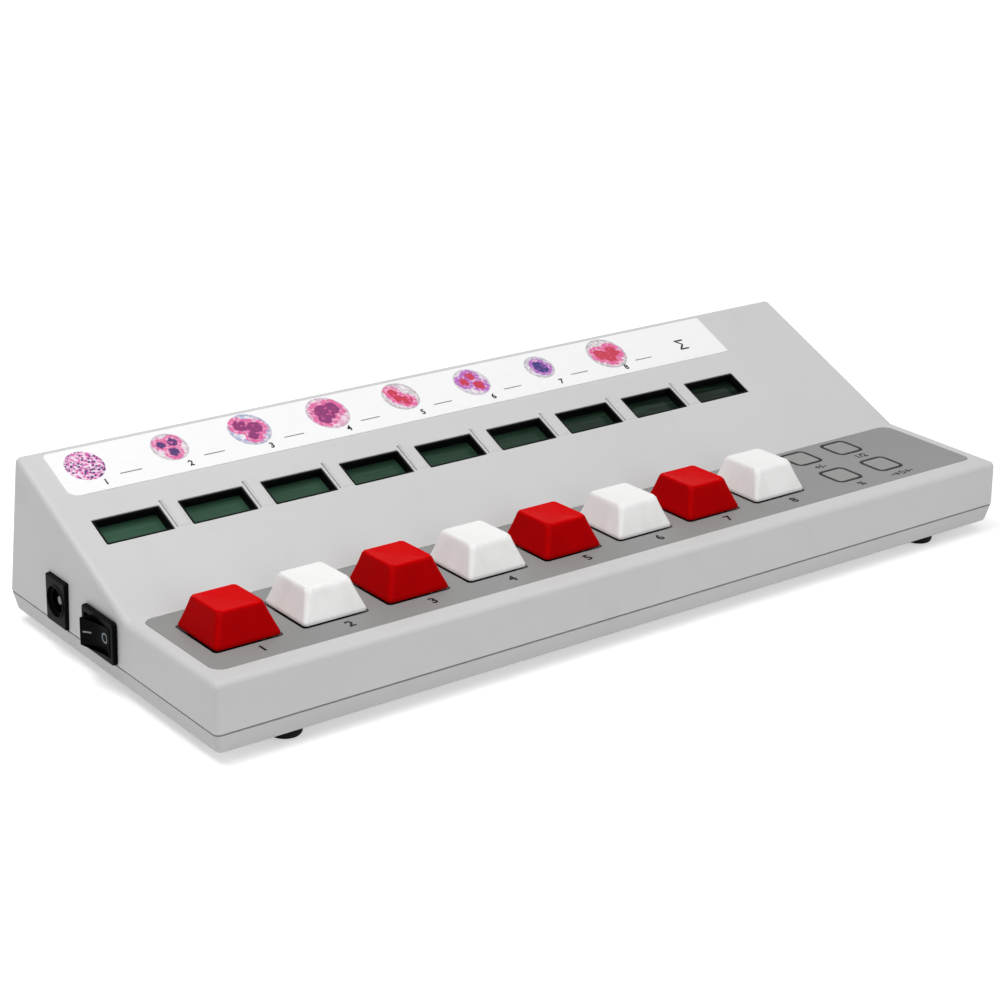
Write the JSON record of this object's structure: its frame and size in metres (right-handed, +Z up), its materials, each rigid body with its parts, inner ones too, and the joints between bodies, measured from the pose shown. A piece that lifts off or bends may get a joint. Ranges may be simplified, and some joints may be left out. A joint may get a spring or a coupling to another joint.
{
  "type": "differential cell counter",
  "caption": "Wedge-shaped bench tally counter: a row of sprung counting keys below a row of small displays, flat buttons, a rocker power switch and a round power socket.",
  "frame": {"origin": "on the bench under the middle of the whole object, the raised end of the rocker counted", "axes": "+X from the left side to the right, along the row of keys; +Y from the front to the rear; +Z up"},
  "size_m": [0.2638, 0.102, 0.0457],
  "materials": {
    "lower_case_plastic": "fine satin texture",
    "upper_case_plastic": "fine satin texture",
    "foot_rubber": "matt",
    "zinc_screws": "zinc plated",
    "label_print": "satin print",
    "overlay_print": "fine textured film",
    "spacer_film": "plain",
    "black_frame": "gloss",
    "display_glass": "grey-green liquid crystal",
    "circuit_board": "solder mask",
    "switch_housing": "satin",
    "stem_plastic": "satin",
    "spring_steel": "bright wire",
    "red_keycap": "semi-gloss",
    "white_keycap": "semi-gloss",
    "button_print": "fine textured film",
    "plunger_plastic": "satin",
    "rocker_frame": "satin",
    "rocker_paddle": "satin",
    "brass_contacts": "plain",
    "socket_plastic": "satin",
    "nickel_pin": "nickel plated",
    "tinned_tabs": "tinned",
    "chip_epoxy": "matt",
    "sounder_case": "matt",
    "capacitor_sleeve": "sleeve",
    "ribbon_insulation": "ribbed",
    "header_plastic": "satin",
    "lead_insulation": "satin"
  },
  "bodies": {
    "case": {"lower_case": "lower_case_plastic", "upper_case": "upper_case_plastic", "rubber_feet": "foot_rubber", "case_screws": "zinc_screws", "label_strip": "label_print", "overlay_film": "overlay_print", "overlay_spacer": "spacer_film", "display_surrounds": "black_frame", "display_glasses": "display_glass", "display_board": "circuit_board", "display_board_screws": "zinc_screws", "main_board": "circuit_board", "main_board_screws": "zinc_screws", "key_switch_bases": "switch_housing", "key_switch_tops": "switch_housing", "tact_switch_bodies": "switch_housing", "rocker_housing": "rocker_frame", "rocker_terminals": "brass_contacts", "power_socket_body": "socket_plastic", "power_socket_pin": "nickel_pin", "power_socket_tabs": "tinned_tabs", "microcontroller": "chip_epoxy", "sounder": "sounder_case", "capacitors": "capacitor_sleeve", "ribbon_cable": "ribbon_insulation", "ribbon_headers": "header_plastic", "power_leads": "lead_insulation", "key_spring_1": "spring_steel", "key_spring_2": "spring_steel", "key_spring_3": "spring_steel", "key_spring_4": "spring_steel", "key_spring_5": "spring_steel", "key_spring_6": "spring_steel", "key_spring_7": "spring_steel", "key_spring_8": "spring_steel"},
    "key_1": {"keycap_1": "red_keycap", "key_stem_1": "stem_plastic"},
    "key_2": {"keycap_2": "white_keycap", "key_stem_2": "stem_plastic"},
    "key_3": {"keycap_3": "red_keycap", "key_stem_3": "stem_plastic"},
    "key_4": {"keycap_4": "white_keycap", "key_stem_4": "stem_plastic"},
    "key_5": {"keycap_5": "red_keycap", "key_stem_5": "stem_plastic"},
    "key_6": {"keycap_6": "white_keycap", "key_stem_6": "stem_plastic"},
    "key_7": {"keycap_7": "red_keycap", "key_stem_7": "stem_plastic"},
    "key_8": {"keycap_8": "white_keycap", "key_stem_8": "stem_plastic"},
    "sign_key": {"sign_button": "button_print", "sign_plunger": "plunger_plastic"},
    "mode_key": {"mode_button": "button_print", "mode_plunger": "plunger_plastic"},
    "percent_key": {"percent_button": "button_print", "percent_plunger": "plunger_plastic"},
    "reset_key": {"reset_button": "button_print", "reset_plunger": "plunger_plastic"},
    "rocker": {"rocker_paddle": "rocker_paddle"}
  },
  "joints": [
    {"name": "key_1_press", "type": "slide", "parent": "case", "child": "key_1", "axis": [0, 0, -1], "range_m": [0, 0.0038], "stiffness_N_per_m": 85, "springref_m": -0.0033, "deforming": ["key_spring_1"]},
    {"name": "key_2_press", "type": "slide", "parent": "case", "child": "key_2", "axis": [0, 0, -1], "range_m": [0, 0.0038], "stiffness_N_per_m": 85, "springref_m": -0.0033, "deforming": ["key_spring_2"]},
    {"name": "key_3_press", "type": "slide", "parent": "case", "child": "key_3", "axis": [0, 0, -1], "range_m": [0, 0.0038], "stiffness_N_per_m": 85, "springref_m": -0.0033, "deforming": ["key_spring_3"]},
    {"name": "key_4_press", "type": "slide", "parent": "case", "child": "key_4", "axis": [0, 0, -1], "range_m": [0, 0.0038], "stiffness_N_per_m": 85, "springref_m": -0.0033, "deforming": ["key_spring_4"]},
    {"name": "key_5_press", "type": "slide", "parent": "case", "child": "key_5", "axis": [0, 0, -1], "range_m": [0, 0.0038], "stiffness_N_per_m": 85, "springref_m": -0.0033, "deforming": ["key_spring_5"]},
    {"name": "key_6_press", "type": "slide", "parent": "case", "child": "key_6", "axis": [0, 0, -1], "range_m": [0, 0.0038], "stiffness_N_per_m": 85, "springref_m": -0.0033, "deforming": ["key_spring_6"]},
    {"name": "key_7_press", "type": "slide", "parent": "case", "child": "key_7", "axis": [0, 0, -1], "range_m": [0, 0.0038], "stiffness_N_per_m": 85, "springref_m": -0.0033, "deforming": ["key_spring_7"]},
    {"name": "key_8_press", "type": "slide", "parent": "case", "child": "key_8", "axis": [0, 0, -1], "range_m": [0, 0.0038], "stiffness_N_per_m": 85, "springref_m": -0.0033, "deforming": ["key_spring_8"]},
    {"name": "sign_press", "type": "slide", "parent": "case", "child": "sign_key", "axis": [0, 0, -1], "range_m": [0, 0.0003], "stiffness_N_per_m": 600, "springref_m": -0.0015},
    {"name": "mode_press", "type": "slide", "parent": "case", "child": "mode_key", "axis": [0, 0, -1], "range_m": [0, 0.0003], "stiffness_N_per_m": 600, "springref_m": -0.0015},
    {"name": "percent_press", "type": "slide", "parent": "case", "child": "percent_key", "axis": [0, 0, -1], "range_m": [0, 0.0003], "stiffness_N_per_m": 600, "springref_m": -0.0015},
    {"name": "reset_press", "type": "slide", "parent": "case", "child": "reset_key", "axis": [0, 0, -1], "range_m": [0, 0.0003], "stiffness_N_per_m": 600, "springref_m": -0.0015},
    {"name": "rocker_tilt", "type": "hinge", "parent": "case", "child": "rocker", "pos_m": [-0.12654, 0.0018, 0.01415], "axis": [0, 0, 1], "range_deg": [-26, 0]}
  ]
}
